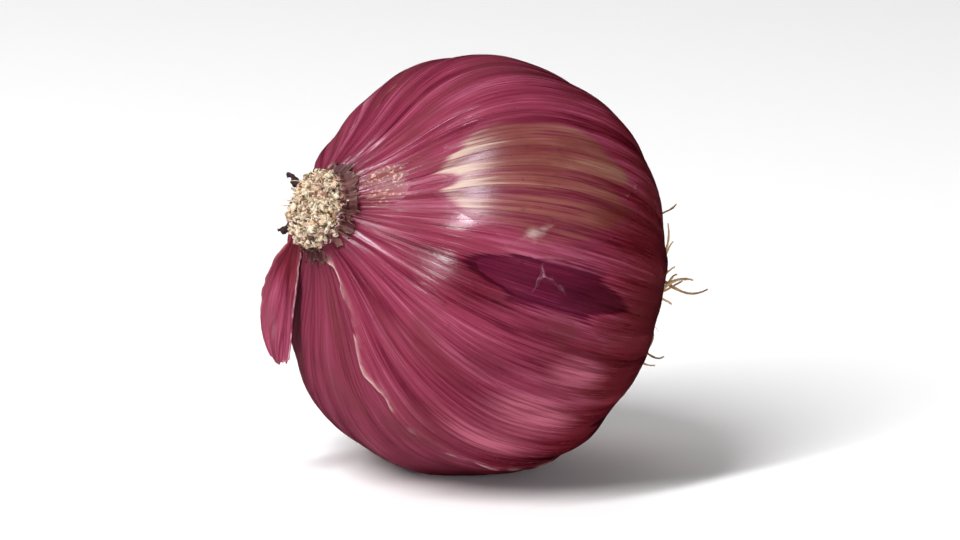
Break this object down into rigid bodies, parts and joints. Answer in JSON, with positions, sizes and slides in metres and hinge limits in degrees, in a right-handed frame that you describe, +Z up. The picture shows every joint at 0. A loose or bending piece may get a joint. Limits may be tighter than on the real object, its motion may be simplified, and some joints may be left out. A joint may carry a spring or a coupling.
{
  "type": "red onion",
  "caption": "Whole red onion lying on its side, with a dried cut neck, a loose papery scale and a tuft of dry curly roots.",
  "frame": {"origin": "on the surface that the onion rests on, under the middle of the part's bounding box", "axes": "+Z up; the neck points to -X and 20 degrees up, the roots to +X; -Y is the front"},
  "size_m": [0.088, 0.0802, 0.0791],
  "materials": {
    "bulb_skin": "satin purple-red papery skin with fine lengthwise veins, darker and glossier where the dry skin is torn",
    "dried_neck": "matt, fibrous, cream to tan with dark specks",
    "dry_root": "matt, straw-coloured, thread-like",
    "loose_scale": "satin, thin purple dry scale with fine veins"
  },
  "bodies": {
    "root": {"bulb": "bulb_skin", "neck": "dried_neck", "root_tuft": "dry_root", "loose_skin": "loose_scale"}
  },
  "joints": []
}
